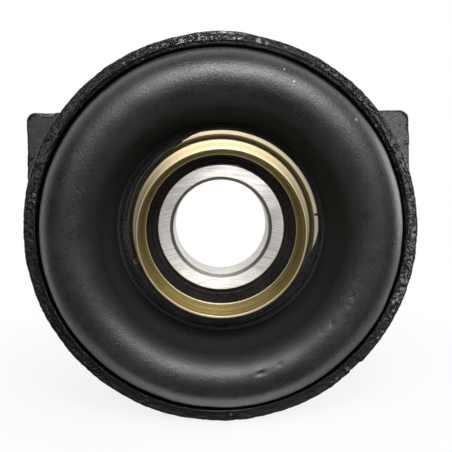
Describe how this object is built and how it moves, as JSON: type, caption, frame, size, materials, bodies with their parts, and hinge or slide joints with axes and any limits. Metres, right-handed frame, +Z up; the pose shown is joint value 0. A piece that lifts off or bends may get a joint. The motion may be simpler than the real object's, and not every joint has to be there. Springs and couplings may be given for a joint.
{
  "type": "driveshaft centre bearing",
  "caption": "Sealed ball bearing in a plated sleeve, hung in a rolled rubber cushion inside a cast ring with bolting lugs; carries the middle of a driveshaft.",
  "frame": {"origin": "centre of the ball bearing, on the shaft's axis", "axes": "+Y along the shaft's axis towards the rear, +Z up out of the lug tops, +X to the right as seen from the front"},
  "size_m": [0.1124, 0.0543, 0.1124],
  "materials": {
    "painted_casting": "rough casting under thick gloss black paint",
    "painted_shell": "pressed steel under gloss black paint",
    "cushion_rubber": "moulded, satin, a little dusty",
    "plated_steel": "turned steel with yellow zinc plating",
    "race_steel": "ground bearing steel",
    "ball_steel": "polished bearing steel",
    "cage_steel": "pressed sheet steel",
    "seal_rubber": "moulded, matt"
  },
  "bodies": {
    "ring": {"housing": "painted_casting", "cushion_shell": "painted_shell", "rubber_cushion": "cushion_rubber"},
    "carrier": {"bearing_sleeve": "plated_steel", "front_collar": "plated_steel", "outer_race": "race_steel", "front_seal": "seal_rubber", "rear_seal": "seal_rubber"},
    "shaft_race": {"inner_race": "race_steel"},
    "ball_set": {"cage_front": "cage_steel", "cage_rear": "cage_steel", "cage_rivets": "cage_steel", "ball_1": "ball_steel", "ball_2": "ball_steel", "ball_3": "ball_steel", "ball_4": "ball_steel", "ball_5": "ball_steel", "ball_6": "ball_steel", "ball_7": "ball_steel", "ball_8": "ball_steel", "ball_9": "ball_steel", "ball_10": "ball_steel", "ball_11": "ball_steel"}
  },
  "joints": [
    {"name": "cushion_float", "type": "slide", "parent": "ring", "child": "carrier", "axis": [0, 0, 1], "range_m": [-0.003, 0.003], "stiffness_N_per_m": 40000, "deforming": ["rubber_cushion"]},
    {"name": "shaft_spin", "type": "hinge", "parent": "carrier", "child": "shaft_race", "pos_m": [0, 0, 0], "axis": [0, 1, 0], "continuous": true},
    {"name": "ball_orbit", "type": "hinge", "parent": "carrier", "child": "ball_set", "pos_m": [0, 0, 0], "axis": [0, 1, 0], "continuous": true}
  ],
  "couplings": [
    {"joint": "ball_orbit", "follows": "shaft_spin", "ratio": 0.416}
  ]
}
